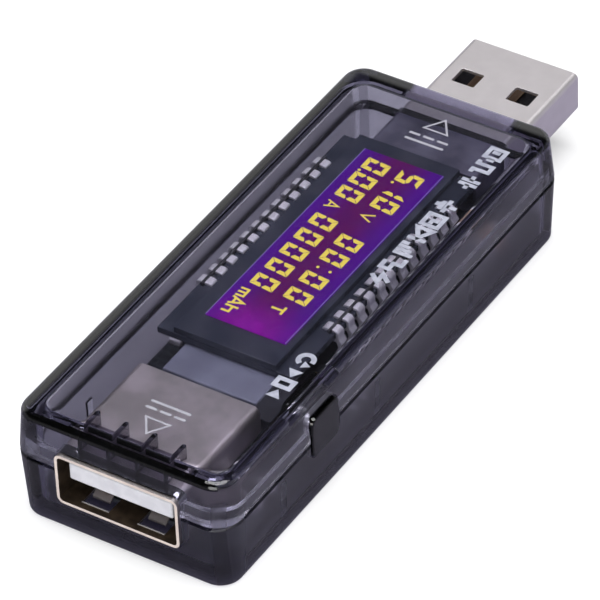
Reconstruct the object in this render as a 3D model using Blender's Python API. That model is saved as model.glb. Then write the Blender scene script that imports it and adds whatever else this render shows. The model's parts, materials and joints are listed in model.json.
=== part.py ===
"""A USB power meter: a see-through stick case with a plug, a socket, a segment display and a reset button.

Sizes are in millimetres and become metres where a mesh is made. X is the width, +X the button's side.
Y is the length, +Y the plug's end. Z is up. The origin is the centre of the case's underside.
"""

import math

import bmesh
import bpy

MM = 0.001

# Case
CASE_WIDTH = 23.4
CASE_LENGTH = 59.8
CASE_HEIGHT = 12.2
PARTING = 7.3
PARTING_GAP = 0.16
PARTING_CHAMFER = 0.14
DRAFT = 0.36
CORNER_RADIUS = 2.6
CORNER_STEPS = 14
TOP_FILLET = 0.8
BOTTOM_FILLET = 0.5
CEILING = CASE_HEIGHT - 1.3
FLOOR = 1.2
CAVITY_HALF_WIDTH = CASE_WIDTH / 2 - 1.6
CAVITY_FRONT = -CASE_LENGTH / 2 + 2.4
CAVITY_BACK = CASE_LENGTH / 2 - 1.9
CAVITY_RADIUS = 1.8
LIP_THICKNESS = 0.65
LIP_TOP = PARTING + 0.9
FIT = 0.15

# Board
BOARD_LOW = 2.2
BOARD_TOP = 3.4
BOARD_HALF_WIDTH = 9.7
BOARD_FRONT = -27.0
BOARD_BACK = 27.4
MOUNTED = BOARD_TOP + 0.05

# Socket
SOCKET_WIDTH = 13.2
SOCKET_HEIGHT = 5.7
SOCKET_SHEET = 0.3
SOCKET_CENTRE = 6.42
SOCKET_MOUTH = -CASE_LENGTH / 2 - 0.12
SOCKET_REAR = -16.2
TONGUE_FRONT = SOCKET_MOUTH + 0.72
TONGUE_LOW = 6.2
TONGUE_TOP = 8.15
CONTACT_PLACES = (-3.5, -1.0, 1.0, 3.5)
SPRING_PLACES = (-2.95, 3.05)

# Plug
PLUG_WIDTH = 12.0
PLUG_HEIGHT = 4.5
PLUG_SHEET = 0.32
PLUG_CENTRE = 6.03
PLUG_REAR = 22.9
PLUG_TIP = 42.5
PLUG_WINDOW_Y = PLUG_TIP - 5.75
PLUG_WINDOW_X = 3.05

# Display
LCD_CENTRE_X = -0.95
LCD_FRONT_Y = -10.4
LCD_BACK_Y = 22.4
REAR_GLASS_HALF = 7.4
FRONT_GLASS_HALF = 5.55
LIT_CENTRE = (-0.45, 6.5)
LIT_SIZE = (8.75, 28.1)
GUIDE_CENTRE_X = -0.2
GUIDE_HALF = 5.1
GUIDE_LOW = 5.6
GUIDE_TOP = 7.6
REAR_GLASS_LOW = 7.7
REAR_GLASS_TOP = 8.4
FRONT_GLASS_LOW = 8.45
FRONT_GLASS_TOP = 9.15
PIN_COUNT = 12
PIN_PITCH = 1.83
PIN_WIDTH = 1.0
PIN_FIRST_Y = -2.7
LEG_OFFSET = 7.95
LEG_SIZE = 0.5
LEG_HOLE = 1.0

# Reset button and its switch
BUTTON_Y = -13.35
BUTTON_Z = 7.75
BUTTON_WIDTH = 4.6
BUTTON_HEIGHT = 4.5
BUTTON_RADIUS = 0.8
BUTTON_FACE = CASE_WIDTH / 2 + 0.15
BUTTON_TRAVEL = 0.3
BUTTON_FIT = 0.15
SWITCH_FRONT = 7.9


def material(name, colour, roughness, metallic=0.0):
    made = bpy.data.materials.new(name)
    made.use_nodes = True
    shader = made.node_tree.nodes["Principled BSDF"]
    shader.inputs["Base Color"].default_value = (*colour, 1.0)
    shader.inputs["Roughness"].default_value = roughness
    shader.inputs["Metallic"].default_value = metallic
    made.diffuse_color = (*colour, 1.0)
    return made


def solid(name, points, faces, finish=None):
    """A mesh object from points in millimetres. With no finish it is a hidden cutter."""
    build = bmesh.new()
    corners = [build.verts.new((x * MM, y * MM, z * MM)) for x, y, z in points]
    for face in faces:
        build.faces.new([corners[i] for i in face])
    bmesh.ops.recalc_face_normals(build, faces=build.faces[:])
    mesh = bpy.data.meshes.new(name)
    build.to_mesh(mesh)
    build.free()
    made = bpy.data.objects.new(name, mesh)
    bpy.context.scene.collection.objects.link(made)
    if finish is None:
        made.hide_render = True
        made.display_type = "WIRE"
    else:
        mesh.materials.append(finish)
    return made


def stack(name, rings, finish=None):
    """A closed body through rings with the same number of points, capped at both ends."""
    count = len(rings[0])
    points = [point for ring in rings for point in ring]
    faces = [list(range(count)), list(range(len(points) - count, len(points)))]
    for level in range(len(rings) - 1):
        low, high = level * count, (level + 1) * count
        for i in range(count):
            j = (i + 1) % count
            faces.append([low + i, low + j, high + j, high + i])
    return solid(name, points, faces, finish)


def box(name, low, high, finish=None):
    x0, y0, z0 = low
    x1, y1, z1 = high
    rings = [[(x0, y0, z), (x1, y0, z), (x1, y1, z), (x0, y1, z)] for z in (z0, z1)]
    return stack(name, rings, finish)


def rounded(half_a, half_b, radius, steps=8, centre=(0.0, 0.0)):
    """The outline of a rounded rectangle, as (a, b) pairs, counter-clockwise."""
    outline = []
    for corner in range(4):
        sign_a = (1, -1, -1, 1)[corner]
        sign_b = (1, 1, -1, -1)[corner]
        for step in range(steps + 1):
            angle = math.radians(90 * corner + 90 * step / steps)
            outline.append((
                centre[0] + sign_a * (half_a - radius) + radius * math.cos(angle),
                centre[1] + sign_b * (half_b - radius) + radius * math.sin(angle),
            ))
    return outline


def prism(name, outline, axis, low, high, finish=None):
    """An outline swept along one axis. Its pairs are the other two axes, in the order x, y, z."""
    place = {
        "x": lambda a, b, c: (c, a, b),
        "y": lambda a, b, c: (a, c, b),
        "z": lambda a, b, c: (a, b, c),
    }[axis]
    return stack(name, [[place(a, b, c) for a, b in outline] for c in (low, high)], finish)


def tube(name, outer, inner, low, high, finish):
    """A sleeve along Y between two outlines with the same number of points."""
    count = len(outer)
    points = []
    for outline, y in ((outer, low), (inner, low), (inner, high), (outer, high)):
        points += [(a, y, b) for a, b in outline]
    faces = []
    for ring in range(4):
        start, end = ring * count, (ring + 1) % 4 * count
        for i in range(count):
            j = (i + 1) % count
            faces.append([start + i, start + j, end + j, end + i])
    return solid(name, points, faces, finish)


def boolean(target, tool, operation="DIFFERENCE"):
    modifier = target.modifiers.new(f"{operation.lower()}_{tool.name}", "BOOLEAN")
    modifier.operation = operation
    modifier.solver = "EXACT"
    modifier.object = tool


def case_ring(z, inset):
    radius = CORNER_RADIUS - inset
    outline = rounded(CASE_WIDTH / 2 - inset, CASE_LENGTH / 2 - inset, radius, CORNER_STEPS)
    return [(x, y, z) for x, y in outline]


def cavity_outline(grow=0.0):
    centre = (CAVITY_FRONT + CAVITY_BACK) / 2
    half_length = (CAVITY_BACK - CAVITY_FRONT) / 2 + grow
    return rounded(CAVITY_HALF_WIDTH + grow, half_length, CAVITY_RADIUS + grow, 12, (0.0, centre))


def cavity(name, levels):
    """A cutter for the inside of a case half, from (height, growth) pairs."""
    return stack(name, [[(x, y, z) for x, y in cavity_outline(grow)] for z, grow in levels])


def socket_opening(grow):
    half = (SOCKET_WIDTH / 2 + grow, SOCKET_HEIGHT / 2 + grow)
    return rounded(*half, 0.7 + grow, 6, (0.0, SOCKET_CENTRE))


def plug_opening(grow):
    half = (PLUG_WIDTH / 2 + grow, PLUG_HEIGHT / 2 + grow)
    return rounded(*half, 0.6 + grow, 6, (0.0, PLUG_CENTRE))


def button_opening(grow):
    half = (BUTTON_WIDTH / 2 + grow, BUTTON_HEIGHT / 2 + grow)
    return rounded(*half, BUTTON_RADIUS + grow, 6, (BUTTON_Y, BUTTON_Z))


def cut_openings(half):
    """The socket's, the plug's and the button's openings, which both case halves share."""
    tag = half.name
    socket = prism(f"{tag}_socket_cut", socket_opening(0.15), "y", -CASE_LENGTH, CAVITY_FRONT + 1)
    plug = prism(f"{tag}_plug_cut", plug_opening(0.15), "y", CAVITY_BACK - 1, CASE_LENGTH)
    button = prism(f"{tag}_button_cut", button_opening(BUTTON_FIT), "x", 9.0, 14.0)
    for tool in (socket, plug, button):
        boolean(half, tool)


def make_top_cover(plastic):
    fillet_steps = 8
    rings = [
        case_ring(PARTING + PARTING_GAP / 2, PARTING_CHAMFER),
        case_ring(PARTING + PARTING_GAP / 2 + PARTING_CHAMFER, 0.0),
    ]
    for step in range(fillet_steps + 1):
        angle = math.radians(90 * step / fillet_steps)
        inset = DRAFT + TOP_FILLET * (1 - math.cos(angle))
        rings.append(case_ring(CASE_HEIGHT - TOP_FILLET + TOP_FILLET * math.sin(angle), inset))
    cover = stack("top_cover", rings, plastic)
    inside = [(PARTING - 1, 0.0), (CEILING - 0.5, -0.15), (CEILING - 0.15, -0.3), (CEILING, -0.65)]
    boolean(cover, cavity("cover_cavity", inside))
    rebate = LIP_THICKNESS + FIT
    boolean(cover, cavity("cover_rebate", [(PARTING - 1, rebate), (LIP_TOP + FIT, rebate)]))
    cut_openings(cover)

    # Four ribs press on the socket from above, just behind the front wall.
    rib_low = SOCKET_CENTRE + SOCKET_HEIGHT / 2 + 0.15
    for number in range(4):
        x = 3.07 * (number - 1.5) - 0.1
        outline = rounded(0.24, 1.5, 0.22, 5, (x, CAVITY_FRONT + 0.8))
        rib = prism(f"cover_rib_{number}", outline, "z", rib_low, CEILING + 0.4)
        boolean(cover, rib, "UNION")
    # A flat on the top edge leads a fingertip to the button.
    edge = CASE_WIDTH / 2 - DRAFT
    relief = [(edge - 0.86, CASE_HEIGHT + 0.01), (edge + 0.1, CASE_HEIGHT - 0.85),
              (edge + 1.5, CASE_HEIGHT - 0.85), (edge + 1.5, CASE_HEIGHT + 1.0), (edge - 0.86, CASE_HEIGHT + 1.0)]
    boolean(cover, prism("cover_relief", relief, "y", BUTTON_Y - 5.15, BUTTON_Y + 3.15))
    return cover


def make_bottom_case(plastic):
    fillet_steps = 6
    rings = []
    for step in range(fillet_steps + 1):
        angle = math.radians(90 * step / fillet_steps)
        inset = DRAFT + BOTTOM_FILLET * (1 - math.sin(angle))
        rings.append(case_ring(BOTTOM_FILLET * (1 - math.cos(angle)), inset))
    rings.append(case_ring(PARTING - PARTING_GAP / 2 - PARTING_CHAMFER, 0.0))
    rings.append(case_ring(PARTING - PARTING_GAP / 2, PARTING_CHAMFER))
    case = stack("bottom_case", rings, plastic)
    lip = [[(x, y, z) for x, y in cavity_outline(LIP_THICKNESS)] for z in (PARTING - 1.5, LIP_TOP)]
    boolean(case, stack("case_lip", lip), "UNION")
    boolean(case, cavity("case_cavity", [(FLOOR, -0.5), (FLOOR + 0.5, -0.15), (LIP_TOP + 1, 0.0)]))
    cut_openings(case)

    # Posts under the board's corners, and ribs up the side walls that steady it.
    for x in (-8.6, 8.6):
        for y in (-25.2, 25.6):
            outline = rounded(1.0, 1.0, 0.95, 3, (x, y))
            post = prism(f"case_post_{x:+.0f}_{y:+.0f}", outline, "z", FLOOR - 0.4, BOARD_LOW - 0.1)
            boolean(case, post, "UNION")
    for side in (-1, 1):
        for y in (-19.6, -3.4, 13.4):
            inner, outer = side * (BOARD_HALF_WIDTH + 0.12), side * (CAVITY_HALF_WIDTH + 0.5)
            rib = box(f"case_rib_{side + 1}_{y:+.0f}", (min(inner, outer), y - 0.45, FLOOR - 0.3),
                      (max(inner, outer), y + 0.45, PARTING - 1.6))
            boolean(case, rib, "UNION")
    return case


def make_reset_button(plastic):
    """The cap passes through the wall, and a flange behind it keeps it in. Its origin is on its slide axis."""
    flange_low, flange_high = 8.95, 9.6
    rings = []
    for x, shrink in ((flange_low, -0.7), (flange_high, -0.7), (flange_high, 0.0), (BUTTON_FACE - 0.25, 0.0),
                      (BUTTON_FACE - 0.07, 0.07), (BUTTON_FACE, 0.25)):
        half = (BUTTON_WIDTH / 2 - shrink, BUTTON_HEIGHT / 2 - shrink)
        outline = rounded(*half, BUTTON_RADIUS - max(shrink, 0.0), 6)
        rings.append([(x, a, b) for a, b in outline])
    button = stack("reset_button", rings, plastic)
    button.location = (0.0, BUTTON_Y * MM, BUTTON_Z * MM)
    return button


def make_switch(finishes):
    """A side-acting tact switch: body with an open pocket, sheet cover over it, and the plunger."""
    y, z = BUTTON_Y, 5.75
    back = SWITCH_FRONT - 2.85
    body = box("switch_body", (back, y - 2.25, MOUNTED), (SWITCH_FRONT, y + 2.25, 7.35), finishes["black"])
    pocket = box("switch_pocket", (SWITCH_FRONT - 1.5, y - 1.1, z - 0.8), (SWITCH_FRONT + 1, y + 1.1, z + 0.8))
    boolean(body, pocket)
    plate = box("switch_cover", (back, y - 2.6, 4.2), (SWITCH_FRONT - 0.2, y + 2.6, 7.7), finishes["steel"])
    boolean(plate, box("switch_cover_inside", (back - 1, y - 2.35, 3.0), (SWITCH_FRONT + 1, y + 2.35, 7.45)))
    plunger = box("switch_plunger", (-1.1, -0.85, -0.55), (0.75, 0.85, 0.55), finishes["black"])
    plunger.location = (SWITCH_FRONT * MM, y * MM, z * MM)
    return body, plate, plunger


def make_board(finish):
    outline = rounded(BOARD_HALF_WIDTH, (BOARD_BACK - BOARD_FRONT) / 2, 0.8, 4,
                      (0.0, (BOARD_BACK + BOARD_FRONT) / 2))
    board = prism("main_board", outline, "z", BOARD_LOW, BOARD_TOP, finish)
    for side in (-1, 1):
        for number in range(PIN_COUNT):
            x = LCD_CENTRE_X + side * LEG_OFFSET
            y = PIN_FIRST_Y + number * PIN_PITCH
            half = LEG_HOLE / 2
            hole = prism(f"board_pin_hole_{side + 1}_{number}", rounded(half, half, 0.45, 1, (x, y)),
                         "z", BOARD_LOW - 1, BOARD_TOP + 1)
            boolean(board, hole)
    for number, x in enumerate(CONTACT_PLACES):
        hole = box(f"board_socket_hole_{number}", (x - 0.7, SOCKET_REAR - 0.75, BOARD_LOW - 1),
                   (x + 0.7, SOCKET_REAR + 0.65, BOARD_TOP + 1))
        boolean(board, hole)
    return board


def make_socket(finishes):
    shell = tube("socket_shell", socket_opening(0.0), socket_opening(-SOCKET_SHEET),
                 SOCKET_MOUTH, SOCKET_REAR, finishes["steel"])
    low = SOCKET_CENTRE - SOCKET_HEIGHT / 2
    boolean(shell, box("socket_rear_cut", (-5.4, SOCKET_REAR - 2.2, low - 1), (5.4, SOCKET_REAR + 1, low + 1)))
    # Each retention spring lies in a window in the shell's floor: fixed at the rear, its tip towards the mouth.
    for number, x in enumerate(SPRING_PLACES):
        front = SOCKET_MOUTH + 0.82
        window = box(f"socket_window_{number}", (x - 1.45, front, low - 1), (x + 1.45, front + 6.6, low + 1))
        boolean(shell, window)
        top = [(front + 0.95, low + 0.5), (front + 1.6, low + 0.95), (front + 2.3, low + 1.12),
               (front + 3.0, low + 1.0), (front + 6.4, low + 0.3), (front + 7.2, low + 0.28)]
        under = [(y, z - 0.22) for y, z in reversed(top)]
        spring = prism(f"socket_spring_{number}", top + under, "x", x - 0.95, x + 0.95)
        boolean(shell, spring, "UNION")

    inner_half = SOCKET_WIDTH / 2 - SOCKET_SHEET - 0.08
    block_low = low + SOCKET_SHEET + 0.08
    block_top = low + SOCKET_HEIGHT - SOCKET_SHEET - 0.08
    block_front = SOCKET_REAR - 4.2
    insulator = prism("socket_insulator", rounded(inner_half, (block_top - block_low) / 2, 0.3, 3,
                      (0.0, (block_top + block_low) / 2)), "y", block_front, SOCKET_REAR - 0.1, finishes["white"])
    tongue = box("socket_tongue", (-5.55, TONGUE_FRONT, TONGUE_LOW), (5.55, block_front + 1, TONGUE_TOP))
    boolean(insulator, tongue, "UNION")
    for number, x in enumerate(CONTACT_PLACES):
        channel = box(f"socket_channel_{number}", (x - 0.7, block_front - 1, block_low - 1),
                      (x + 0.7, SOCKET_REAR + 1, TONGUE_LOW))
        boolean(insulator, channel)
        strip_top = TONGUE_LOW - 0.08
        leg_front = SOCKET_REAR - 0.3
        path = [(TONGUE_FRONT + 0.9, strip_top), (leg_front + 0.45, strip_top), (leg_front + 0.45, BOARD_LOW - 0.4),
                (leg_front, BOARD_LOW - 0.4), (leg_front, strip_top - 0.3), (block_front - 3.2, strip_top - 0.3),
                (block_front - 5.4, strip_top - 0.6), (TONGUE_FRONT + 1.6, strip_top - 0.35),
                (TONGUE_FRONT + 0.9, strip_top - 0.35)]
        prism(f"socket_contact_{number + 1}", path, "x", x - 0.5, x + 0.5, finishes["gold"])


def make_plug(finishes):
    shell = tube("plug_shell", plug_opening(0.0), plug_opening(-PLUG_SHEET), PLUG_REAR, PLUG_TIP, finishes["steel"])
    for side in (-1, 1):
        x, y = side * PLUG_WINDOW_X, PLUG_WINDOW_Y
        window = prism(f"plug_window_{side + 1}", rounded(1.25, 1.1, 0.15, 2, (x, y)), "z", 0.0, CASE_HEIGHT)
        boolean(shell, window)
    low = PLUG_CENTRE - PLUG_HEIGHT / 2 + PLUG_SHEET + 0.06
    half = PLUG_WIDTH / 2 - PLUG_SHEET - 0.08
    box("plug_insulator", (-half, PLUG_REAR + 1.0, low + 0.15), (half, PLUG_TIP - 0.35, PLUG_CENTRE - 0.05),
        finishes["black"])
    for number, x in enumerate(CONTACT_PLACES):
        reach = 1.0 if abs(x) > 2 else 2.0
        strip_low = PLUG_CENTRE - 0.02
        path = [(PLUG_TIP - reach, strip_low), (PLUG_TIP - reach, strip_low + 0.18),
                (PLUG_REAR - 0.25, strip_low + 0.18), (PLUG_REAR - 0.25, MOUNTED + 0.25),
                (PLUG_REAR - 1.6, MOUNTED + 0.25), (PLUG_REAR - 1.6, MOUNTED),
                (PLUG_REAR + 0.0, MOUNTED), (PLUG_REAR + 0.0, strip_low)]
        prism(f"plug_contact_{number + 1}", path, "x", x - 0.5, x + 0.5, finishes["gold"])


def make_display(finishes):
    x = LCD_CENTRE_X
    box("backlight_guide", (GUIDE_CENTRE_X - GUIDE_HALF, LCD_FRONT_Y - 3.9, GUIDE_LOW),
        (GUIDE_CENTRE_X + GUIDE_HALF, LCD_BACK_Y, GUIDE_TOP), finishes["milky"])
    for name, half, low, high in (
        ("lcd_rear_glass", REAR_GLASS_HALF, REAR_GLASS_LOW, REAR_GLASS_TOP),
        ("lcd_front_glass", FRONT_GLASS_HALF, FRONT_GLASS_LOW, FRONT_GLASS_TOP),
    ):
        box(name, (x - half, LCD_FRONT_Y, low), (x + half, LCD_BACK_Y, high), finishes["glass"])
    (lit_x, lit_y), (width, length) = LIT_CENTRE, LIT_SIZE
    box("lcd_polariser", (lit_x - width / 2, lit_y - length / 2, FRONT_GLASS_TOP + 0.05),
        (lit_x + width / 2, lit_y + length / 2, FRONT_GLASS_TOP + 0.2), finishes["violet"])
    for side, word in ((-1, "left"), (1, "right")):
        for number in range(PIN_COUNT):
            # A jaw grips the rear glass's edge from above and below, and the leg runs down through the board.
            edge = REAR_GLASS_HALF
            jaw = [(6.05, REAR_GLASS_TOP + 0.05), (edge + 0.1, REAR_GLASS_TOP + 0.05), (edge + 0.1, REAR_GLASS_LOW - 0.06),
                   (6.5, REAR_GLASS_LOW - 0.06), (6.5, REAR_GLASS_LOW - 0.3), (edge + 0.1, REAR_GLASS_LOW - 0.3),
                   (LEG_OFFSET - LEG_SIZE / 2, REAR_GLASS_LOW - 0.75),
                   (LEG_OFFSET - LEG_SIZE / 2, BOARD_LOW - 0.6), (LEG_OFFSET + LEG_SIZE / 2, BOARD_LOW - 0.6),
                   (LEG_OFFSET + LEG_SIZE / 2, REAR_GLASS_LOW - 0.5), (edge + 0.42, REAR_GLASS_LOW + 0.1),
                   (edge + 0.42, REAR_GLASS_TOP - 0.1), (edge + 0.36, REAR_GLASS_TOP + 0.1),
                   (edge + 0.18, REAR_GLASS_TOP + 0.28), (edge, REAR_GLASS_TOP + 0.34), (6.4, REAR_GLASS_TOP + 0.34),
                   (6.15, REAR_GLASS_TOP + 0.26), (6.05, REAR_GLASS_TOP + 0.15)]
            outline = [(x + side * a, b) for a, b in jaw]
            y = PIN_FIRST_Y + number * PIN_PITCH
            pin = prism(f"lcd_pin_{word}_{number + 1:02d}", outline, "y", y - PIN_WIDTH / 2, y + PIN_WIDTH / 2,
                        finishes["tin"])
            # Below the jaw the leg is narrower than the jaw.
            for step in (-1, 1):
                near, far = y + step * LEG_SIZE / 2, y + step * PIN_WIDTH
                trim = box(f"{pin.name}_trim_{step + 1}", (x + side * 8.6 - 2, min(near, far), BOARD_LOW - 2),
                           (x + side * 8.6 + 2, max(near, far), REAR_GLASS_LOW - 1.4))
                boolean(pin, trim)


def make_components(finishes):
    """The parts soldered to the board's top, as (name, finish, centre x, centre y, size x, size y, height)."""
    for name, key, x, y, width, length, height in (
        ("microcontroller", "black", -0.6, 8.5, 7.0, 7.0, 1.2),
        ("memory_chip", "black", -0.6, 0.5, 5.0, 4.0, 1.3),
        ("sense_amplifier", "black", -0.4, -5.6, 3.0, 3.0, 1.0),
        ("voltage_regulator", "black", -8.2, -20.5, 1.6, 2.9, 1.1),
        ("shunt_resistor", "black", -5.9, -13.0, 3.2, 4.6, 0.7),
        ("capacitor_1", "tan", 8.3, 20.2, 1.7, 3.2, 1.6),
        ("capacitor_2", "tan", -0.6, 17.2, 2.0, 1.25, 1.0),
        ("resistor_1", "black", 8.6, -5.2, 1.25, 2.0, 0.5),
        ("resistor_2", "black", -8.9, -6.0, 1.25, 2.0, 0.5),
        ("rectifier_diode", "black", 8.2, -21.0, 1.7, 2.8, 1.1),
        ("backlight_led", "white", -0.2, -14.75, 3.0, 0.7, 3.6),
    ):
        box(name, (x - width / 2, y - length / 2, MOUNTED),
            (x + width / 2, y + length / 2, MOUNTED + height), finishes[key])


def main():
    for old in list(bpy.data.objects):
        bpy.data.objects.remove(old)
    finishes = {
        "smoke": material("smoky_plastic", (0.05, 0.05, 0.065), 0.12),
        "black": material("black_moulding", (0.02, 0.02, 0.022), 0.45),
        "white": material("white_moulding", (0.82, 0.83, 0.85), 0.4),
        "steel": material("plated_steel", (0.62, 0.59, 0.6), 0.28, 1.0),
        "gold": material("gold_plate", (0.85, 0.65, 0.3), 0.25, 1.0),
        "tin": material("tinned_pins", (0.72, 0.7, 0.68), 0.3, 1.0),
        "green": material("board_mask", (0.02, 0.04, 0.035), 0.4),
        "glass": material("lcd_glass", (0.06, 0.07, 0.08), 0.08),
        "violet": material("lit_display", (0.25, 0.02, 0.45), 0.2),
        "milky": material("milky_acrylic", (0.55, 0.57, 0.62), 0.35),
        "tan": material("capacitor_body", (0.35, 0.22, 0.14), 0.5),
    }
    make_top_cover(finishes["smoke"])
    make_bottom_case(finishes["smoke"])
    make_reset_button(finishes["smoke"])
    make_switch(finishes)
    make_board(finishes["green"])
    make_socket(finishes)
    make_plug(finishes)
    make_display(finishes)
    make_components(finishes)


main()
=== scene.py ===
"""A USB power meter in its smoky see-through case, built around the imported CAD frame. Metres, Z up."""
import json
import math

import bmesh
import bpy
from mathutils import Matrix, Vector


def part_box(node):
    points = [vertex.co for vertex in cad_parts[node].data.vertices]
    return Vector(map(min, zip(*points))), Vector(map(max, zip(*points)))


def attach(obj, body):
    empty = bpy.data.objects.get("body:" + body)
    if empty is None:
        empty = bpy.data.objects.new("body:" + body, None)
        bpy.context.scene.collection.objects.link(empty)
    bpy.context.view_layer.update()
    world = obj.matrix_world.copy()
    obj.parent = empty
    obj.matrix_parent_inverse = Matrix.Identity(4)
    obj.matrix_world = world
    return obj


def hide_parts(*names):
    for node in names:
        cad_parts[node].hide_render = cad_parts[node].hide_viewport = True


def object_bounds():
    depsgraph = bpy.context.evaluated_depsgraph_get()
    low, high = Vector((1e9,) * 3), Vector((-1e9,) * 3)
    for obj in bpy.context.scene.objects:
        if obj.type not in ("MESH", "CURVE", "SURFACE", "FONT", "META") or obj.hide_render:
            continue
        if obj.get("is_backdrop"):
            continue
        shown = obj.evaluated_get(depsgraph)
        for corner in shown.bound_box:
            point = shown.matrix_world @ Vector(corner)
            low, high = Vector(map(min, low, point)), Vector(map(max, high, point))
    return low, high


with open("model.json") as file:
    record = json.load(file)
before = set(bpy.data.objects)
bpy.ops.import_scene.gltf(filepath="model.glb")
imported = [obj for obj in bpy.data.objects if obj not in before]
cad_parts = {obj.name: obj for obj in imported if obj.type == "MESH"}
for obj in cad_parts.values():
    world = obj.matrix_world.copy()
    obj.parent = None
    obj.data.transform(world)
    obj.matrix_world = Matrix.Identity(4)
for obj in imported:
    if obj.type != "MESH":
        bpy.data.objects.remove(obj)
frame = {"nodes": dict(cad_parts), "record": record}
cad_low, cad_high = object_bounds()
case_low, case_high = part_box("top_cover")
MM = 0.001

# The view: angles in degrees, focal length in millimetres.
CAMERA_AZIMUTH, CAMERA_ELEVATION, CAMERA_ROLL = 33.87, 39.85, -2.8
CAMERA_DISTANCE = 0.5026
CAMERA_TARGET = Vector((-1.52, 3.25, 5.1)) * MM
CAMERA_LENS = 321.9


# ---------------------------------------------------------------- nodes that the materials share

def shader_of(name):
    """A new material with its Principled shader."""
    made = bpy.data.materials.new(name)
    made.use_nodes = True
    return made, made.node_tree.nodes["Principled BSDF"]


def place_of(tree, stretch=(1.0, 1.0, 1.0)):
    """The point on the object in metres, stretched along its axes for a directional grain."""
    point = tree.nodes.new("ShaderNodeTexCoord").outputs["Object"]
    mapping = tree.nodes.new("ShaderNodeMapping")
    mapping.inputs["Scale"].default_value = stretch
    tree.links.new(point, mapping.inputs["Vector"])
    return mapping.outputs["Vector"]


def axes_of(tree, vector):
    """The X, Y and Z of a vector, as three sockets."""
    split = tree.nodes.new("ShaderNodeSeparateXYZ")
    tree.links.new(vector, split.inputs[0])
    return split.outputs["X"], split.outputs["Y"], split.outputs["Z"]


def noise(tree, place, scale, detail=3.0):
    texture = tree.nodes.new("ShaderNodeTexNoise")
    texture.inputs["Scale"].default_value = scale
    texture.inputs["Detail"].default_value = detail
    tree.links.new(place, texture.inputs["Vector"])
    return texture.outputs["Fac"]


def spread(tree, value, low, high, start=0.32, end=0.68):
    """A value mapped smoothly from start..end to low..high."""
    span = tree.nodes.new("ShaderNodeMapRange")
    span.interpolation_type = "SMOOTHSTEP"
    for key, number in (("From Min", start), ("From Max", end), ("To Min", low), ("To Max", high)):
        span.inputs[key].default_value = number
    tree.links.new(value, span.inputs["Value"])
    return span.outputs["Result"]


def arithmetic(tree, operation, *terms):
    """A Math node over sockets and numbers."""
    node = tree.nodes.new("ShaderNodeMath")
    node.operation = operation
    for socket, term in zip(node.inputs, terms):
        if isinstance(term, (int, float)):
            socket.default_value = term
        else:
            tree.links.new(term, socket)
    return node.outputs[0]


def band(tree, value, rise, fall):
    """One from the end of a soft rise to the start of a soft fall, and nought outside them."""
    return arithmetic(tree, "MULTIPLY", spread(tree, value, 0.0, 1.0, *rise),
                      spread(tree, value, 1.0, 0.0, *fall))


def blend_colours(tree, factor, first, second):
    """Two colours, each a tuple or a socket, mixed by a factor."""
    mix = tree.nodes.new("ShaderNodeMix")
    mix.data_type = "RGBA"
    tree.links.new(factor, mix.inputs[0])
    for socket, colour in ((mix.inputs[6], first), (mix.inputs[7], second)):
        if isinstance(colour, tuple):
            socket.default_value = (*colour, 1.0)
        else:
            tree.links.new(colour, socket)
    return mix.outputs[2]


def blend_shaders(tree, factor, first, second):
    mix = tree.nodes.new("ShaderNodeMixShader")
    for socket, source in zip(mix.inputs, (factor, first, second)):
        tree.links.new(source, socket)
    return mix.outputs[0]


def add_bump(tree, shader, height, distance):
    bump = tree.nodes.new("ShaderNodeBump")
    bump.inputs["Strength"].default_value = 1.0
    bump.inputs["Distance"].default_value = distance
    tree.links.new(height, bump.inputs["Height"])
    tree.links.new(bump.outputs["Normal"], shader.inputs["Normal"])


# ---------------------------------------------------------------- materials

def finished(name, dark, light, roughness, metallic=0.0, patch=900.0, grain=14000.0, depth=2e-6,
             stretch=(1.0, 1.0, 1.0)):
    """A surface whose colour and gloss vary in patches, with a fine grain pressed or rolled into it."""
    made, shader = shader_of(name)
    tree = made.node_tree
    place = place_of(tree, stretch)
    patches = spread(tree, noise(tree, place, patch), 0.0, 1.0)
    tree.links.new(blend_colours(tree, patches, dark, light), shader.inputs["Base Color"])
    fine = noise(tree, place, grain, 2.0)
    tree.links.new(spread(tree, fine, *roughness), shader.inputs["Roughness"])
    add_bump(tree, shader, fine, depth)
    shader.inputs["Metallic"].default_value = metallic
    return made


def soft_step(face, start, end):
    """Where a soft change starts and ends, given in millimetres from a face of the case."""
    return face + start * MM, face + end * MM


# Handling has rubbed the top's left and far edges a little hazy, and the haze also stands in for a sheen
# there: partly wear, partly a painted sheen.
HAZE_AND_SHEEN_LEFT = soft_step(case_low[0], 1.2, 2.0)
HAZE_AND_SHEEN_FAR = soft_step(case_high[1], -2.2, -1.5)
HAZE_AND_SHEEN_TOP = soft_step(case_high[2], -1.0, -0.7)
HAZE_AND_SHEEN_AMOUNT = 0.045
# The inner faces of the side walls and of the front wall, each up to a height below the top.
SIDE_INSIDE = soft_step(case_high[0], -1.85, -1.75)
SIDE_MIDDLE = soft_step(case_high[0], -0.7, -0.6)
SIDE_TOP = soft_step(case_high[2], -2.1, -1.9)
FRONT_MIDDLE = soft_step(cad_low[1], 1.0, 1.2)
FRONT_INSIDE = soft_step(cad_low[1], 3.1, 3.3)
FRONT_TOP = soft_step(case_high[2], -3.8, -3.4)
# Share of colour kept by the side walls' inner faces: a painted shade.
INNER_PAINTED_SHADE = (0.50, 0.49, 0.51)
LAMPLIGHT_PASSED = (0.80, 0.79, 0.82, 1.0)


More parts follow.
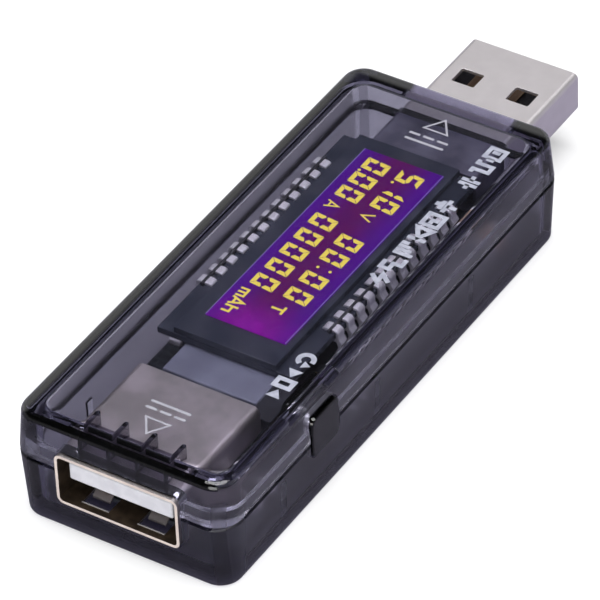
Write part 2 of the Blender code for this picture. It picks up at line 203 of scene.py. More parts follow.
def smoky_plastic(name, tint, density, satin=0.28, film=(1.0, 1.0, 1.0)):
    """Clear smoked polycarbonate: it bends what is behind it, lamps shine through, and depth darkens it.

    The walls' inner faces are satin, as a mould leaves them, so the sides only hint at what is inside; the
    side walls' inner faces are also darker in colour, a painted shade."""
    made, shader = shader_of(name)
    tree = made.node_tree
    shader.inputs["IOR"].default_value = 1.5
    place = place_of(tree)
    across, along, up = axes_of(tree, place)

    # A little of the top's left and far edges scatters light instead of passing it: rubbed haze and a painted
    # sheen.
    haze_and_sheen = arithmetic(tree, "MAXIMUM", spread(tree, across, 1.0, 0.0, *HAZE_AND_SHEEN_LEFT),
                        spread(tree, along, 0.0, 1.0, *HAZE_AND_SHEEN_FAR))
    haze_and_sheen = arithmetic(tree, "MULTIPLY", haze_and_sheen, spread(tree, up, 0.0, HAZE_AND_SHEEN_AMOUNT, *HAZE_AND_SHEEN_TOP))
    tree.links.new(arithmetic(tree, "SUBTRACT", 1.0, haze_and_sheen), shader.inputs["Transmission Weight"])

    sides = band(tree, arithmetic(tree, "ABSOLUTE", across), SIDE_INSIDE, SIDE_MIDDLE)
    sides = arithmetic(tree, "MULTIPLY", sides, spread(tree, up, 1.0, 0.0, *SIDE_TOP))
    # The side walls' inner faces are darkened in colour: a painted shade. film scales the colour all over,
    # and is dark where a look carries a painted shade.
    shade = tuple(part * share for part, share in zip(film, INNER_PAINTED_SHADE))
    tree.links.new(blend_colours(tree, sides, film, shade), shader.inputs["Base Color"])

    front = band(tree, along, FRONT_MIDDLE, FRONT_INSIDE)
    front = arithmetic(tree, "MULTIPLY", front, spread(tree, up, 1.0, 0.0, *FRONT_TOP))
    gloss = spread(tree, noise(tree, place, 260.0), 0.025, 0.07)
    inner = arithmetic(tree, "MAXIMUM", sides, front)
    tree.links.new(arithmetic(tree, "MULTIPLY_ADD", inner, satin, gloss), shader.inputs["Roughness"])
    add_bump(tree, shader, noise(tree, place, 420.0, 1.0), 3e-6)

    clear = tree.nodes.new("ShaderNodeBsdfTransparent")
    clear.inputs["Color"].default_value = LAMPLIGHT_PASSED
    shadow_ray = tree.nodes.new("ShaderNodeLightPath").outputs["Is Shadow Ray"]
    surface = blend_shaders(tree, shadow_ray, shader.outputs[0], clear.outputs[0])
    absorb = tree.nodes.new("ShaderNodeVolumeAbsorption")
    absorb.inputs["Color"].default_value = (*tint, 1.0)
    absorb.inputs["Density"].default_value = density
    output = tree.nodes["Material Output"]
    tree.links.new(surface, output.inputs["Surface"])
    tree.links.new(absorb.outputs[0], output.inputs["Volume"])
    return made


def glowing(name, colour, strength):
    made, shader = shader_of(name)
    shader.inputs["Base Color"].default_value = (0.02, 0.015, 0.02, 1.0)
    shader.inputs["Roughness"].default_value = 0.3
    shader.inputs["Emission Strength"].default_value = strength
    shader.inputs["Emission Color"].default_value = (*colour, 1.0)
    return made


def lit_film(name, low, high):
    """The lit film: violet at its long edges, redder along its middle, magenta where the lamp sits."""
    made, shader = shader_of(name)
    tree = made.node_tree
    place = place_of(tree)
    across, along, _ = axes_of(tree, place)
    centre, half = (low[0] + high[0]) / 2, (high[0] - low[0]) / 2
    side = arithmetic(tree, "ABSOLUTE", arithmetic(tree, "SUBTRACT", across, centre))
    base = blend_colours(tree, spread(tree, side, 0.0, 1.0, 0.1 * half, half), (0.145, 0.0, 0.130),
                         (0.100, 0.0, 0.36))
    lamp = spread(tree, along, 1.0, 0.0, low[1], low[1] + 5.5 * MM)
    lamp = arithmetic(tree, "MULTIPLY", lamp, spread(tree, side, 1.0, 0.35, 0.0, half))
    glow = blend_colours(tree, lamp, base, (0.36, 0.0, 0.46))
    cloud = spread(tree, noise(tree, place, 900.0, 4.0), 0.0, 0.25)
    tree.links.new(blend_colours(tree, cloud, glow, (0.05, 0.0, 0.18)), shader.inputs["Emission Color"])
    shader.inputs["Base Color"].default_value = (0.01, 0.005, 0.015, 1.0)
    shader.inputs["Roughness"].default_value = 0.25
    shader.inputs["Emission Strength"].default_value = 1.0
    return made


def board_mask(name):
    """Dark solder mask with raised copper tracks under it and a weave of glass fibre."""
    made, shader = shader_of(name)
    tree = made.node_tree
    place = place_of(tree)
    tracks = tree.nodes.new("ShaderNodeTexBrick")
    for key, number in (("Scale", 300.0), ("Mortar Size", 0.035), ("Brick Width", 0.9), ("Row Height", 0.28)):
        tracks.inputs[key].default_value = number
    tree.links.new(place, tracks.inputs["Vector"])
    colour = blend_colours(tree, tracks.outputs["Fac"], (0.018, 0.02, 0.024), (0.04, 0.045, 0.05))
    tree.links.new(colour, shader.inputs["Base Color"])
    weave = noise(tree, place, 3500.0, 2.0)
    tree.links.new(spread(tree, weave, 0.3, 0.48), shader.inputs["Roughness"])
    add_bump(tree, shader, tracks.outputs["Fac"], 2.5e-5)
    return made


SMOKE_TINT = (0.44, 0.43, 0.54)
SMOKE_DENSITY = 560.0
# Darker copies of the plastic for the cover's ribs and its near top edge: a painted shade.
rib_painted_shade = smoky_plastic("smoky_rib_painted_shade_look", SMOKE_TINT, SMOKE_DENSITY, film=(0.40, 0.38, 0.42))
edge_painted_shade = smoky_plastic("smoky_edge_painted_shade_look", SMOKE_TINT, SMOKE_DENSITY, film=(0.07, 0.068, 0.08))
LOOKS = {
    "smoky_plastic": smoky_plastic("smoky_plastic_look", SMOKE_TINT, SMOKE_DENSITY),
    "plated_steel": finished("plated_steel_look", (0.93, 0.88, 0.90), (0.97, 0.92, 0.94), (0.38, 0.48), 1.0,
                             patch=500.0, depth=1.5e-6),
    "white_moulding": finished("white_moulding_look", (0.60, 0.60, 0.63), (0.68, 0.68, 0.71), (0.3, 0.42)),
    "black_moulding": finished("black_moulding_look", (0.014, 0.014, 0.016), (0.03, 0.03, 0.034), (0.38, 0.6),
                               depth=8e-6),
    "gold_plate": finished("gold_plate_look", (0.26, 0.18, 0.10), (0.42, 0.31, 0.19), (0.3, 0.45), 1.0,
                           stretch=(1.0, 0.2, 1.0)),
    "tinned_pins": finished("tinned_pins_look", (0.93, 0.91, 0.92), (1.0, 0.98, 1.0), (0.3, 0.44), 0.75,
                            patch=2500.0, stretch=(1.0, 2.5, 1.0)),
    "board_mask": board_mask("board_mask_look"),
    "lcd_glass": finished("lcd_glass_look", (0.030, 0.034, 0.046), (0.048, 0.052, 0.066), (0.06, 0.12),
                          patch=300.0, depth=2e-7),
    "milky_acrylic": finished("milky_acrylic_look", (0.12, 0.125, 0.16), (0.19, 0.20, 0.25), (0.3, 0.45),
                              patch=150.0),
    "capacitor_body": finished("capacitor_body_look", (0.30, 0.19, 0.13), (0.48, 0.34, 0.25), (0.4, 0.6),
                               patch=3000.0),
    "lit_display": lit_film("lit_display_look", *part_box("lcd_polariser")),
}
# Nodes whose finish differs from that of the rest of their slot.
SPECIAL = {
    "reset_button": smoky_plastic("smoky_button_look", (0.35, 0.34, 0.45), 3400.0, 0.0, (0.7, 0.7, 0.74)),
    "bottom_case": smoky_plastic("smoky_lower_look", SMOKE_TINT, 680.0),
    "socket_shell": finished("champagne_steel_look", (0.56, 0.52, 0.49), (0.80, 0.73, 0.72), (0.34, 0.44),
                             1.0, patch=260.0, depth=1.5e-6),
    # The switch cover's steel is darkened to near black: a painted shade.
    "switch_cover": finished("switch_cover_painted_shade_look", (0.025, 0.025, 0.03), (0.05, 0.05, 0.06), (0.4, 0.55), 0.5,
                             patch=300.0),
}
# Dark brown steel for the socket shell's inner faces: a painted shade.
shadowed_steel = finished("shadowed_steel_look", (0.035, 0.024, 0.016), (0.075, 0.052, 0.034), (0.3, 0.5),
                          0.6)
# A darker copy of the plug's steel for its length inside the case: a painted shade.
shaded_steel = finished("shaded_steel_look", (0.10, 0.098, 0.13), (0.20, 0.195, 0.25), (0.4, 0.55), 0.8,
                        patch=300.0)
# A brighter copy of the shell's steel for its rim: a painted highlight.
rim_highlight_steel = finished("rim_steel_look", (0.74, 0.64, 0.56), (0.86, 0.76, 0.66), (0.3, 0.42), 0.35, patch=500.0)
figure_glow = glowing("segment_glow", (1.0, 0.80, 0.105), 1.3)
# Glow for the film's long edges: a painted highlight.
film_edge_highlight = glowing("film_edge_highlight", (0.45, 0.33, 0.9), 0.7)
ink = finished("pale_ink", (0.24, 0.25, 0.31), (0.33, 0.34, 0.41), (0.45, 0.65), patch=1500.0)
fine_ink = finished("fine_ink", (0.24, 0.235, 0.28), (0.30, 0.295, 0.34), (0.45, 0.65), patch=1500.0)


# ---------------------------------------------------------------- the CAD nodes, welded, rounded and finished

body_of = {node: body for body, nodes in frame["record"]["behaviour"]["bodies"].items() for node in nodes}
slot_of = {part["node"]: part["material_slot"] for part in frame["record"]["subparts"]}

WELD = 1e-6
FLAT_WITHIN = math.radians(0.5)
SHARP_OVER = 32
# How far each node's edges are rounded, in millimetres. Nodes that aren't named take the thin or plain value.
EDGES = {"plug_shell": 0.07, "socket_shell": 0.06, "plug_insulator": 0.12, "socket_insulator": 0.18,
         "switch_body": 0.1, "switch_cover": 0.07, "switch_plunger": 0.1, "main_board": 0.04,
         "lcd_front_glass": 0.05, "lcd_rear_glass": 0.05, "lcd_polariser": 0.0, "backlight_guide": 0.12,
         "top_cover": 0.05, "bottom_case": 0.05, "reset_button": 0.04, "backlight_led": 0.08}
THIN_EDGE, PLAIN_EDGE = 0.04, 0.09
THIN = ("lcd_pin", "plug_contact", "socket_contact")


def piece_from(build, name, look, body="housing", smooth_angle=None):
    """A finished piece from a bmesh, riding on a body."""
    bmesh.ops.recalc_face_normals(build, faces=build.faces[:])
    mesh = bpy.data.meshes.new(name)
    build.to_mesh(mesh)
    build.free()
    if smooth_angle:
        mesh.polygons.foreach_set("use_smooth", [True] * len(mesh.polygons))
        mesh.set_sharp_from_angle(angle=math.radians(smooth_angle))
    mesh.materials.append(look)
    made = bpy.data.objects.new(name, mesh)
    bpy.context.scene.collection.objects.link(made)
    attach(made, body)
    return made


def skin(name, bevel):
    """Stands for a CAD node: the same solid with its facets joined, its edges rounded and its finish on."""
    build = bmesh.new()
    build.from_mesh(frame["nodes"][name].data)
    bmesh.ops.remove_doubles(build, verts=build.verts[:], dist=WELD)
    bmesh.ops.dissolve_limit(build, angle_limit=FLAT_WITHIN, verts=build.verts[:], edges=build.edges[:])
    look = SPECIAL.get(name) or LOOKS[slot_of[name]]
    made = piece_from(build, f"{name}_skin", look, body_of[name], SHARP_OVER)
    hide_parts(name)
    if bevel:
        edge = made.modifiers.new("edges", "BEVEL")
        edge.width = bevel * MM
        edge.segments = 2
        edge.limit_method = "ANGLE"
        edge.angle_limit = math.radians(SHARP_OVER)
    flat = made.modifiers.new("flats", "WEIGHTED_NORMAL")
    flat.keep_sharp = True


def finish_socket_shell():
    """The socket shell's sheet is bright outside, takes a painted highlight at its rim, and a painted shade
    inside.
    """
    shell = bpy.data.objects["socket_shell_skin"]
    shell.data.materials.append(shadowed_steel)
    shell.data.materials.append(rim_highlight_steel)
    rim = shell_low[1] + 0.02 * MM
    for face in shell.data.polygons:
        x, y, z = face.center
        within = (shell_low[0] + 0.2 * MM < x < shell_high[0] - 0.2 * MM
                  and shell_low[2] + 0.2 * MM < z < shell_high[2] - 0.2 * MM)
        on_spring = 1.9 * MM < abs(x) < 4.1 * MM and shell_low[2] + 0.32 * MM < z < shell_low[2] + 1.3 * MM
        # Inner faces, springs aside, take the painted shade; the rim's faces take the painted highlight.
        if y > rim and within and not on_spring:
            face.material_index = 1
        elif y < rim:
            face.material_index = 2


def finish_cover():
    """The cover's four ribs and its near top edge's fillet take a painted shade, darker than the plastic
    round them.
    """
    cover = bpy.data.objects["top_cover_skin"]
    cover.data.materials.append(rib_painted_shade)
    cover.data.materials.append(edge_painted_shade)
    for face in cover.data.polygons:
        x, y, z = face.center
        from_front = y - case_low[1]
        leans_forward = face.normal.y < -0.2 and face.normal.z > 0.15
        among_ribs = 2.45 * MM < from_front < 4.9 * MM and abs(x + 0.1 * MM) < 5.0 * MM
        if among_ribs and z < case_high[2] - 1.35 * MM:
            face.material_index = 1
        if from_front < 0.95 * MM and z > case_high[2] - 0.75 * MM and leans_forward:
            face.material_index = 2


def finish_plug_shell():
    """The plug's shell takes a painted shade where it runs on inside the case."""
    plug = bpy.data.objects["plug_shell_skin"]
    plug.data.materials.append(shaded_steel)
    wall_back = case_high[1] - 1.2 * MM
    build = bmesh.new()
    build.from_mesh(plug.data)
    bmesh.ops.bisect_plane(build, geom=build.verts[:] + build.edges[:] + build.faces[:], dist=1e-7,
                           plane_co=(0.0, wall_back, 0.0), plane_no=(0.0, 1.0, 0.0))
    for face in build.faces:
        if face.calc_center_median().y < wall_back:
            face.material_index = 1
    build.to_mesh(plug.data)
    build.free()


for node_name in frame["nodes"]:
    skin(node_name, EDGES.get(node_name, THIN_EDGE if node_name.startswith(THIN) else PLAIN_EDGE))
shell_low, shell_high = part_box("socket_shell")
finish_socket_shell()
finish_cover()
finish_plug_shell()


# ---------------------------------------------------------------- shapes in millimetres

def loft(build, rings):
    """A closed solid through rings of as many points each, with its two ends capped."""
    made = [[build.verts.new([value * MM for value in point]) for point in ring] for ring in rings]
    build.faces.new(made[0])
    build.faces.new(made[-1])
    for low_ring, high_ring in zip(made, made[1:]):
        for i in range(len(low_ring)):
            j = (i + 1) % len(low_ring)
            build.faces.new((low_ring[i], low_ring[j], high_ring[j], high_ring[i]))


def plate(build, outline, low, high):
    """A flat shape between two heights, from its (x, y) outline."""
    loft(build, [[(x, y, z) for x, y in outline] for z in (low, high)])


def slab(build, low, high, bottom, top):
    """An upright block between two (x, y) corners and two heights."""
    plate(build, [(low[0], low[1]), (high[0], low[1]), (high[0], high[1]), (low[0], high[1])], bottom, top)


def stroke(build, points, width, low, high, place, closed=False):
    """A line of even width with mitred corners, through points in a mark's own frame."""
    count = len(points)
    vectors = [Vector(point) for point in points]
    left, right = [], []
    for i, here in enumerate(vectors):
        ways = []
        if closed or i:
            ways.append((here - vectors[i - 1]).normalized())
        if closed or i < count - 1:
            ways.append((vectors[(i + 1) % count] - here).normalized())
        normals = [Vector((-way.y, way.x)) for way in ways]
        mitre = sum(normals, Vector((0.0, 0.0))).normalized()
        reach = width / 2 / max(mitre.dot(normals[0]), 0.35)
        left.append(here + mitre * reach)
        right.append(here - mitre * reach)
    for i in range(count if closed else count - 1):
        j = (i + 1) % count
        plate(build, [place(*corner) for corner in (left[i], left[j], right[j], right[i])], low, high)


def arc(centre, radius, start, end, steps=16):
    return [(centre[0] + radius * math.cos(math.radians(start + (end - start) * i / steps)),
             centre[1] + radius * math.sin(math.radians(start + (end - start) * i / steps)))
            for i in range(steps + 1)]


# ---------------------------------------------------------------- the socket's painted glints

# Thin strips of bright tin along the near edges of the socket floor's two windows stand in for the light that
# those bent edges catch: a painted highlight.
WINDOW_MIDDLES, GLINT_HALF_LENGTH = (-2.95, 3.05), 1.45
window_glints = bmesh.new()
for middle in WINDOW_MIDDLES:
    window_front = shell_low[1] / MM + 0.82
    slab(window_glints, (middle - GLINT_HALF_LENGTH, window_front - 0.12),
         (middle + GLINT_HALF_LENGTH, window_front - 0.02), shell_low[2] / MM + 0.3, shell_low[2] / MM + 0.36)
piece_from(window_glints, "socket_window_glints", LOOKS["tinned_pins"])


# ---------------------------------------------------------------- the lit readout

film_low, film_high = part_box("lcd_polariser")
FILM_TOP = film_high[2] / MM
GLOW_LOW, GLOW_HIGH = FILM_TOP + 0.004, FILM_TOP + 0.02
DIGIT_WIDTH, DIGIT_HEIGHT, DIGIT_STROKE, DIGIT_GAP = 1.66, 2.64, 0.47, 0.045
SLANT = 0.11
LIT_BARS = {"0": "abcdef", "1": "bc", "5": "afgcd"}
# A figure's place is its foot's x and where it starts along y.
CHARGE_ROW, TIME_ROW = -3.74, 0.03
FIGURES = [(CHARGE_ROW, start, "0") for start in (19.58, 17.2, 14.86, 10.08, 7.52, 5.02, 2.46, -0.08)]
FIGURES += [(TIME_ROW, start, figure) for start, figure in (
    (19.5, "5"), (17.28, "1"), (15.02, "0"), (8.58, "0"), (6.04, "0"), (2.4, "0"), (-0.28, "0"))]
DOTS = ((-3.56, 17.46), (0.15, 17.4), (0.66, 3.24), (2.05, 3.16))
DOT_RADIUS = 0.16
# Letters, foot, start, height, width and line.
UNITS = (("V", 0.22, 12.3, 1.2, 1.1, 0.17), ("A", -3.72, 12.22, 1.32, 0.95, 0.17),
         ("T", 0.0, -3.2, 1.27, 1.1, 0.26), ("mAh", -3.95, -2.75, 1.4, 1.05, 0.24))
LETTER_PITCH = 1.3


def bars():
    """The seven bars of a digit: outer edges long, inner edges short, narrow oblique gaps between them."""
    w, h, t, g = DIGIT_WIDTH, DIGIT_HEIGHT, DIGIT_STROKE, DIGIT_GAP
    middle, d = h / 2, t * 0.62
    top = [(g, h), (w - g, h), (w - t - g * 0.4, h - t), (t + g * 0.4, h - t)]
    upper = [(0.0, h - g), (t, h - t - g), (t, middle + d), (0.12, middle + 0.06), (0.0, middle + 0.16)]
    cross = [(t * 0.9, middle + t / 2), (w - t * 0.9, middle + t / 2), (w - t * 0.4, middle),
             (w - t * 0.9, middle - t / 2), (t * 0.9, middle - t / 2), (t * 0.4, middle)]

    def turn(shape):
        return [(u, h - v) for u, v in shape]

    def mirror(shape):
        return [(w - u, v) for u, v in shape]

    return {"a": top, "b": mirror(upper), "c": mirror(turn(upper)), "d": turn(top), "e": turn(upper),
            "f": upper, "g": cross}


def add_units(build, letters, row, start, height, width, line):
    """Small unit signs in straight strokes."""
    bar, shoulder = height * 0.3, height * 0.62
    signs = {
        "V": [[(0, height), (width / 2, 0), (width, height)]],
        "A": [[(0, 0), (width / 2, height), (width, 0)], [(width * 0.2, bar), (width * 0.8, bar)]],
        "T": [[(0, height), (width, height)], [(width / 2, height), (width / 2, 0)]],
        "m": [[(0, 0), (0, shoulder), (width * 0.5, shoulder), (width * 0.5, 0)],
              [(width * 0.5, shoulder), (width, shoulder), (width, 0)]],
        "h": [[(0, height), (0, 0)], [(0, height * 0.58), (width * 0.75, height * 0.58), (width * 0.75, 0)]],
    }
    for letter in letters:
        for points in signs[letter]:
            stroke(build, points, line, GLOW_LOW, GLOW_HIGH, lambda u, v: (row + v, start - u))
        start -= width * LETTER_PITCH


# Reading runs towards the socket, with the tops of the figures on the button's side.
readout = bmesh.new()
SHAPES = bars()
for row, start, figure in FIGURES:
    for bar in LIT_BARS[figure]:
        plate(readout, [(row + v, start - u - SLANT * v) for u, v in SHAPES[bar]], GLOW_LOW, GLOW_HIGH)
for dot in DOTS:
    plate(readout, arc(dot, DOT_RADIUS, 0, 330, 11), GLOW_LOW, GLOW_HIGH)
for unit in UNITS:
    add_units(readout, *unit)
piece_from(readout, "lcd_figures", figure_glow)

# The film's two long edges catch the light: a painted highlight, drawn as thin glowing strips.
EDGE_HIGHLIGHT_WIDTH = 0.07
edge_lines = bmesh.new()
for x0, x1 in ((film_low[0], film_low[0] + EDGE_HIGHLIGHT_WIDTH * MM), (film_high[0] - EDGE_HIGHLIGHT_WIDTH * MM, film_high[0])):
    slab(edge_lines, (x0 / MM, film_low[1] / MM), (x1 / MM, film_high[1] / MM), GLOW_LOW, GLOW_HIGH)
piece_from(edge_lines, "lcd_film_edges", film_edge_highlight)

# Dark resin seals the pins to the glass's edges, and leaves their jaws and their bends bare.
SEAL_RADIUS, SEAL_INSET, SEAL_SINK, SEAL_PAST_PINS, SEAL_SIDES = 0.2, 0.45, 0.1, 0.3, 12
seals = bmesh.new()
glass_low, glass_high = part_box("lcd_rear_glass")
first_pin_low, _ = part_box("lcd_pin_right_01")
_, last_pin_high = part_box("lcd_pin_right_12")
for x in (glass_low[0] / MM + SEAL_INSET, glass_high[0] / MM - SEAL_INSET):
    section = [(x + SEAL_RADIUS * math.cos(angle),
                last_pin_high[2] / MM - SEAL_SINK + SEAL_RADIUS * math.sin(angle))
               for angle in (2 * math.pi * i / SEAL_SIDES for i in range(SEAL_SIDES))]
    loft(seals, [[(across, y, up) for across, up in section]
                 for y in (first_pin_low[1] / MM - SEAL_PAST_PINS, last_pin_high[1] / MM + SEAL_PAST_PINS)])
piece_from(seals, "lcd_edge_seals", LOOKS["black_moulding"], smooth_angle=50)


# ---------------------------------------------------------------- the printed marks

TOP = cad_high[2] / MM
INK_LOW, INK_HIGH = TOP + 0.001, TOP + 0.012
# Electrical signs in a unit square, as lines through points. A line that ends where it starts is closed.
SIGNS = {
    "cell": [[(0.1, 0.1), (0.1, 0.9), (0.8, 0.9), (0.8, 0.1), (0.1, 0.1)], [(0.96, 0.3), (0.96, 0.7)],
             [(0.36, 0.3), (0.36, 0.7)]],
    "wave": [[(0.0, 0.1), (0.26, 0.1), (0.26, 0.9), (0.72, 0.9), (0.72, 0.1), (1.0, 0.1)]],
    "plates": [[(0.0, 0.5), (0.36, 0.5)], [(0.36, 0.02), (0.36, 0.98)], [(0.66, 0.02), (0.66, 0.98)],
               [(0.66, 0.5), (1.0, 0.5)]],
    "earth": [[(0.5, 1.0), (0.5, 0.5)], [(0.02, 0.5), (0.98, 0.5)], [(0.18, 0.25), (0.82, 0.25)],
              [(0.36, 0.02), (0.64, 0.02)]],
    "levels": [[(0.12, 0.0), (0.12, 0.4)], [(0.38, 0.0), (0.38, 0.6)], [(0.64, 0.0), (0.64, 0.8)],
               [(0.9, 0.0), (0.9, 1.0)]],
    "diode": [[(0.08, 0.08), (0.08, 0.92), (0.78, 0.5), (0.08, 0.08)], [(0.9, 0.02), (0.9, 0.98)]],
    "clock": [[(0.08, 0.08), (0.08, 0.92), (0.92, 0.92), (0.92, 0.08), (0.08, 0.08)],
              [(0.5, 0.78), (0.5, 0.45), (0.78, 0.45)]],
    "steps": [[(0.0, 0.92), (0.5, 0.92), (0.5, 0.5), (0.95, 0.5), (0.95, 0.05), (0.4, 0.05)]],
    "bolt": [[(0.62, 1.0), (0.2, 0.48), (0.8, 0.52), (0.38, 0.0)]],
}
SIGN_ROW, SIGN_SIZE, SIGN_LINE = 6.95, 2.02, 0.23
SIGN_STARTS = ((24.4, "cell"), (22.1, "wave"), (19.6, "plates"), (15.5, "earth"), (13.1, "clock"),
               (10.8, "diode"), (8.3, "levels"), (5.9, "steps"), (3.5, "bolt"))
BUTTON_ROW, BUTTON_MARK_SIZE, BUTTON_MARK_LINE = 7.3, 1.8, 0.28
NOUGHT = [(0.1, 0.06), (0.1, 0.94), (0.66, 0.94), (0.66, 0.06), (0.1, 0.06)]
CONNECTOR_MARKS = ((1, 1.15, -22.75), (-1, 1.15, 22.1))
DIRECT_CURRENT = [[(-2.1, 0.5), (2.1, 0.5)], [(-2.1, -0.4), (-0.95, -0.4)], [(-0.58, -0.4), (0.58, -0.4)],
                  [(0.95, -0.4), (2.1, -0.4)]]
POINTER = [(-1.32, -1.6), (1.24, -1.6), (-0.04, -3.5), (-1.32, -1.6)]


def side_place(start, row, size):
    """Marks along the right edge read towards the socket, with their tops outwards."""
    return lambda u, v: (row + v * size, start - u * size)


def connector_place(turn, middle_x, middle_y):
    return lambda u, v: (middle_x + turn * u, middle_y + turn * v)


def mark(build, lines, width, place):
    for line in lines:
        closed = line[0] == line[-1] and len(line) > 2
        stroke(build, line[:-1] if closed else line, width, INK_LOW, INK_HIGH, place, closed)


def button_marks(build):
    """Beside the button: a turning arrow, then two arrowheads that close on a nought."""
    arrow, first_head, nought, last_head = (
        side_place(start, BUTTON_ROW, BUTTON_MARK_SIZE) for start in (-9.8, -12.35, -13.75, -15.4))
    mark(build, [arc((0.5, 0.5), 0.4, 75, 335)], BUTTON_MARK_LINE, arrow)
    plate(build, [arrow(0.62, 0.52), arrow(1.16, 0.52), arrow(0.88, 0.98)], INK_LOW, INK_HIGH)
    plate(build, [first_head(0.0, 0.08), first_head(0.0, 0.92), first_head(0.62, 0.5)], INK_LOW, INK_HIGH)
    mark(build, [NOUGHT], BUTTON_MARK_LINE, nought)
    plate(build, [last_head(0.62, 0.08), last_head(0.62, 0.92), last_head(0.0, 0.5)], INK_LOW, INK_HIGH)


marks = bmesh.new()
for start, sign in SIGN_STARTS:
    mark(marks, SIGNS[sign], SIGN_LINE, side_place(start, SIGN_ROW, SIGN_SIZE))
button_marks(marks)
piece_from(marks, "printed_marks", ink)

# Over each connector: a line over three dashes, and an outlined triangle that points out of the case.
fine_marks = bmesh.new()
for turned_place in CONNECTOR_MARKS:
    mark(fine_marks, DIRECT_CURRENT, 0.3, connector_place(*turned_place))
    mark(fine_marks, [POINTER], 0.2, connector_place(*turned_place))
piece_from(fine_marks, "printed_connector_marks", fine_ink)


# ---------------------------------------------------------------- solder and terminals

board_low, board_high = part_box("main_board")
BOARD_TOP, BOARD_UNDERSIDE = board_high[2] / MM + 0.01, board_low[2] / MM - 0.01
JOINT_RADIUS, JOINT_SIDES = 0.62, 12
JOINT_PROFILE = ((1.0, 0.0), (0.72, 0.25), (0.5, 0.55), (0.36, 1.0))
LEG_INSET = 0.25
TERMINAL_SHARE, TERMINAL_PAST, TERMINAL_OVER = 0.17, 0.03, 0.025
TWO_ENDED = ("capacitor_1", "capacitor_2", "resistor_1", "resistor_2", "voltage_regulator", "rectifier_diode")


def solder_joint(build, x, y, z, height):
    """A concave solder fillet with its foot at z. A negative height hangs it under the board."""
    turns = [2 * math.pi * i / JOINT_SIDES for i in range(JOINT_SIDES)]
    loft(build, [[(x + JOINT_RADIUS * share * math.cos(turn), y + JOINT_RADIUS * share * math.sin(turn),
                   z + height * level) for turn in turns] for share, level in JOINT_PROFILE])


def terminal(build, low, high, along, at_end):
    """A tinned cap over one end of a component whose length runs along an axis, just proud of its body."""
    reach = (high[along] - low[along]) * TERMINAL_SHARE
    start, end = list(low), list(high)
    if at_end:
        start[along] = high[along] - reach
        end[along] += TERMINAL_PAST * MM
    else:
        start[along] -= TERMINAL_PAST * MM
        end[along] = low[along] + reach
    cross = 1 - along
    start[cross] -= TERMINAL_OVER * MM
    end[cross] += TERMINAL_OVER * MM
    slab(build, (start[0] / MM, start[1] / MM), (end[0] / MM, end[1] / MM), BOARD_TOP,
         high[2] / MM + TERMINAL_OVER)


solder = bmesh.new()
for name in frame["nodes"]:
    if not name.startswith("lcd_pin"):
        continue
    low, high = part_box(name)
    leg_x = high[0] / MM - LEG_INSET if "right" in name else low[0] / MM + LEG_INSET
    leg_y = (low[1] + high[1]) / 2 / MM
    solder_joint(solder, leg_x, leg_y, BOARD_TOP, 0.4)
    solder_joint(solder, leg_x, leg_y, BOARD_UNDERSIDE, -0.42)
for number in range(1, 5):
    low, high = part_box(f"socket_contact_{number}")
    solder_joint(solder, (low[0] + high[0]) / 2 / MM, high[1] / MM - 0.2, BOARD_UNDERSIDE, -0.4)
piece_from(solder, "solder_joints", LOOKS["tinned_pins"], smooth_angle=60)

terminals = bmesh.new()
for name in TWO_ENDED:
    low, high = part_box(name)
    longest = 1 if high[1] - low[1] > high[0] - low[0] else 0
    for at_end in (False, True):
        terminal(terminals, low, high, longest, at_end)
caps = piece_from(terminals, "component_terminals", LOOKS["tinned_pins"])
rounding = caps.modifiers.new("edges", "BEVEL")
rounding.width = 0.06 * MM
rounding.segments = 2


# ---------------------------------------------------------------- stage

# Each lamp: its size, its place and its power.
LAMPS = {"overhead": ((0.72, 0.9), (0.04, 0.0, 0.9), 14.2),
         "front_fill": ((0.3, 0.3), (0.15, -0.45, 0.2), 1.5)}
FLOOR_SEEN = (0.48, 0.48, 0.483, 1.0)
FLOOR_THROUGH_PLASTIC = (0.62, 0.61, 0.65, 1.0)
FLOOR_MIRRORED = (0.2, 0.19, 0.24, 1.0)


def area_light(name, size, place, power):
    """A rectangular lamp that faces the object."""
    data = bpy.data.lights.new(name, "AREA")
    data.shape = "RECTANGLE"
    data.size, data.size_y = size
    data.energy = power
    lamp = bpy.data.objects.new(name, data)
    bpy.context.scene.collection.objects.link(lamp)
    lamp.location = place
    lamp.rotation_mode = "QUATERNION"
    lamp.rotation_quaternion = (-Vector(place)).to_track_quat("-Z", "Y")


def diffuse(tree, colour):
    shader = tree.nodes.new("ShaderNodeBsdfDiffuse")
    shader.inputs["Color"].default_value = colour
    return shader.outputs[0]


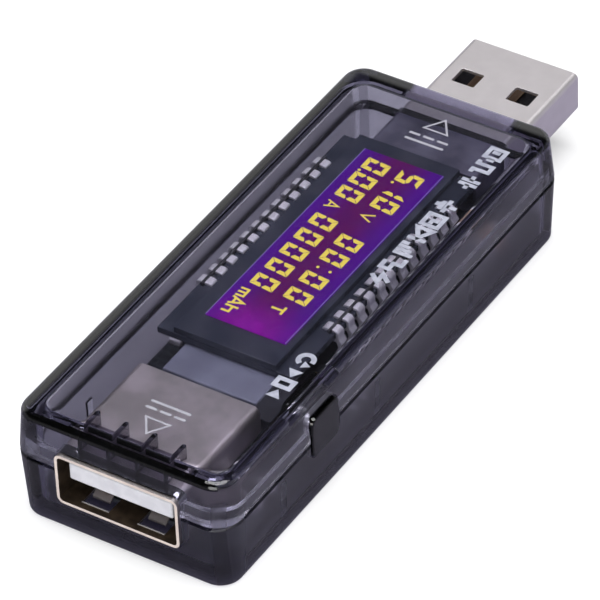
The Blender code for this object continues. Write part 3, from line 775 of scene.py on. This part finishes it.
def floor_look():
    """A pale backdrop, lit a little from below where it is seen itself, and greyer in what mirrors it."""
    made, shader = shader_of("floor_look")
    tree = made.node_tree
    shader.inputs["Base Color"].default_value = FLOOR_SEEN
    shader.inputs["Roughness"].default_value = 0.8
    shader.inputs["Specular IOR Level"].default_value = 0.0
    shader.inputs["Emission Color"].default_value = (1.0, 1.0, 1.0, 1.0)
    shader.inputs["Emission Strength"].default_value = 0.46
    path = tree.nodes.new("ShaderNodeLightPath")
    was_mirrored = arithmetic(tree, "GREATER_THAN", path.outputs["Glossy Depth"], 0.5)
    unseen = blend_shaders(tree, was_mirrored, diffuse(tree, FLOOR_THROUGH_PLASTIC),
                           diffuse(tree, FLOOR_MIRRORED))
    surface = blend_shaders(tree, path.outputs["Is Camera Ray"], unseen, shader.outputs[0])
    tree.links.new(surface, tree.nodes["Material Output"].inputs["Surface"])
    return made


def make_stage():
    bpy.ops.mesh.primitive_plane_add(size=4.0, location=(0, 0, 0))
    floor = bpy.context.object
    floor.name = "floor"
    floor.data.materials.append(floor_look())
    floor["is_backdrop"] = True
    world = bpy.data.worlds.new("studio")
    bpy.context.scene.world = world
    world.use_nodes = True
    sky = world.node_tree
    _, _, up = axes_of(sky, sky.nodes.new("ShaderNodeTexCoord").outputs["Generated"])
    sky.nodes["Background"].inputs["Color"].default_value = (0.95, 0.96, 1.0, 1.0)
    sky.links.new(spread(sky, up, 0.5, 0.05, 0.12, 0.5), sky.nodes["Background"].inputs["Strength"])
    bpy.context.scene.view_settings.view_transform = "Standard"
    for name, (size, place, power) in LAMPS.items():
        area_light(name, size, place, power)


def make_camera():
    data = bpy.data.cameras.new("camera")
    data.lens = CAMERA_LENS
    data.clip_start, data.clip_end = 0.01, 10.0
    camera = bpy.data.objects.new("camera", data)
    bpy.context.scene.collection.objects.link(camera)
    bpy.context.scene.camera = camera
    azimuth, elevation = math.radians(CAMERA_AZIMUTH), math.radians(CAMERA_ELEVATION)
    back = Vector((math.sin(azimuth) * math.cos(elevation), -math.cos(azimuth) * math.cos(elevation),
                   math.sin(elevation)))
    camera.location = CAMERA_TARGET + back * CAMERA_DISTANCE
    turn = (-back).to_track_quat("-Z", "Y").to_matrix().to_4x4()
    roll = Matrix.Rotation(math.radians(CAMERA_ROLL), 4, "Z")
    camera.rotation_mode = "QUATERNION"
    camera.rotation_quaternion = (turn @ roll).to_quaternion()


make_stage()
make_camera()
low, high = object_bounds()
